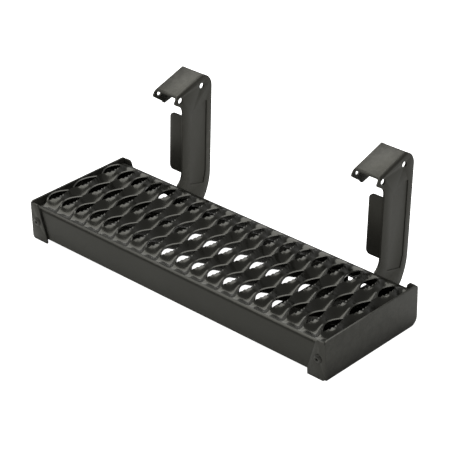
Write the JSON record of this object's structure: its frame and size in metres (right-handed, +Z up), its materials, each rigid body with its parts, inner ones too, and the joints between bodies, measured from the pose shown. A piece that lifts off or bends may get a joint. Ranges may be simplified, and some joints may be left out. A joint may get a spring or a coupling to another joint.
{
  "type": "tailgate step",
  "caption": "Hook-on tailgate step: a formed grip-strand plank between stamped end caps, hung from two sheet-steel hangers bolted to its base plates.",
  "frame": {"origin": "centre of the footprint, level with the bottoms of the end caps", "axes": "+X along the step from the left end cap to the right, +Y from the front rail to the hangers, +Z up"},
  "size_m": [0.56, 0.2625, 0.2096],
  "materials": {
    "tread_black": "glossy black powder coat on formed sheet steel",
    "cap_black": "semi-gloss black powder coat with a fine orange peel",
    "arm_black": "satin warm-black powder coat",
    "screw_black": "black oxide socket button head",
    "zinc_hardware": "clear zinc plate"
  },
  "bodies": {
    "root": {"tread_plank": "tread_black", "base_plate_left": "tread_black", "base_plate_right": "tread_black", "end_cap_left": "cap_black", "end_cap_right": "cap_black", "cap_screw_left_front": "screw_black", "cap_screw_left_rear": "screw_black", "cap_screw_right_front": "screw_black", "cap_screw_right_rear": "screw_black", "weld_nut_left_front": "zinc_hardware", "weld_nut_left_rear": "zinc_hardware", "weld_nut_right_front": "zinc_hardware", "weld_nut_right_rear": "zinc_hardware", "hanger_arm_left": "arm_black", "hanger_arm_right": "arm_black", "arm_bolt_left_front": "zinc_hardware", "arm_bolt_left_rear": "zinc_hardware", "arm_bolt_right_front": "zinc_hardware", "arm_bolt_right_rear": "zinc_hardware", "flat_washer_left_front": "zinc_hardware", "flat_washer_left_rear": "zinc_hardware", "flat_washer_right_front": "zinc_hardware", "flat_washer_right_rear": "zinc_hardware", "lock_washer_left_front": "zinc_hardware", "lock_washer_left_rear": "zinc_hardware", "lock_washer_right_front": "zinc_hardware", "lock_washer_right_rear": "zinc_hardware", "hex_nut_left_front": "zinc_hardware", "hex_nut_left_rear": "zinc_hardware", "hex_nut_right_front": "zinc_hardware", "hex_nut_right_rear": "zinc_hardware"}
  },
  "joints": []
}
